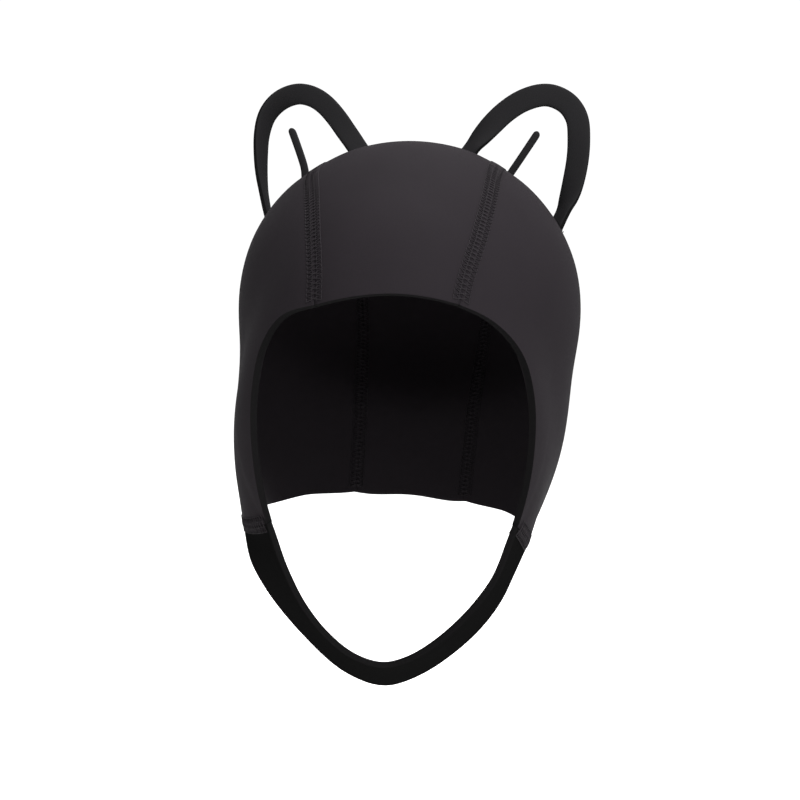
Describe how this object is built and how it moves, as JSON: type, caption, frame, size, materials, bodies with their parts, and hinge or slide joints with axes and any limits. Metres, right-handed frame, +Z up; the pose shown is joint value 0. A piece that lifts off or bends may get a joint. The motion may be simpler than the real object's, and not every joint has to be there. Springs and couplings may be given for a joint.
{
  "type": "neoprene diving cap with open ears",
  "caption": "Close black neoprene diving cap with sewn panels, a chin strap and two open standing ear loops, shown as worn.",
  "frame": {"origin": "the highest point of the head's room, on the inside of the crown, where the cap sits on a head", "axes": "+Z up through the crown, the face opening towards -Y, +X towards the viewer's right"},
  "size_m": [0.1573, 0.2013, 0.2698],
  "materials": {
    "neoprene_panel": "black nylon jersey laminated on neoprene, with a soft sheen",
    "neoprene_strap": "black nylon jersey laminated on neoprene, with plain cut edges",
    "neoprene_ear": "black nylon jersey laminated on neoprene, cut in flat strips"
  },
  "bodies": {
    "root": {"crown_panel": "neoprene_panel", "left_side_panel": "neoprene_panel", "right_side_panel": "neoprene_panel", "chin_strap": "neoprene_strap", "left_ear_loop": "neoprene_ear", "right_ear_loop": "neoprene_ear", "left_ear_tongue": "neoprene_ear", "right_ear_tongue": "neoprene_ear"}
  },
  "joints": []
}
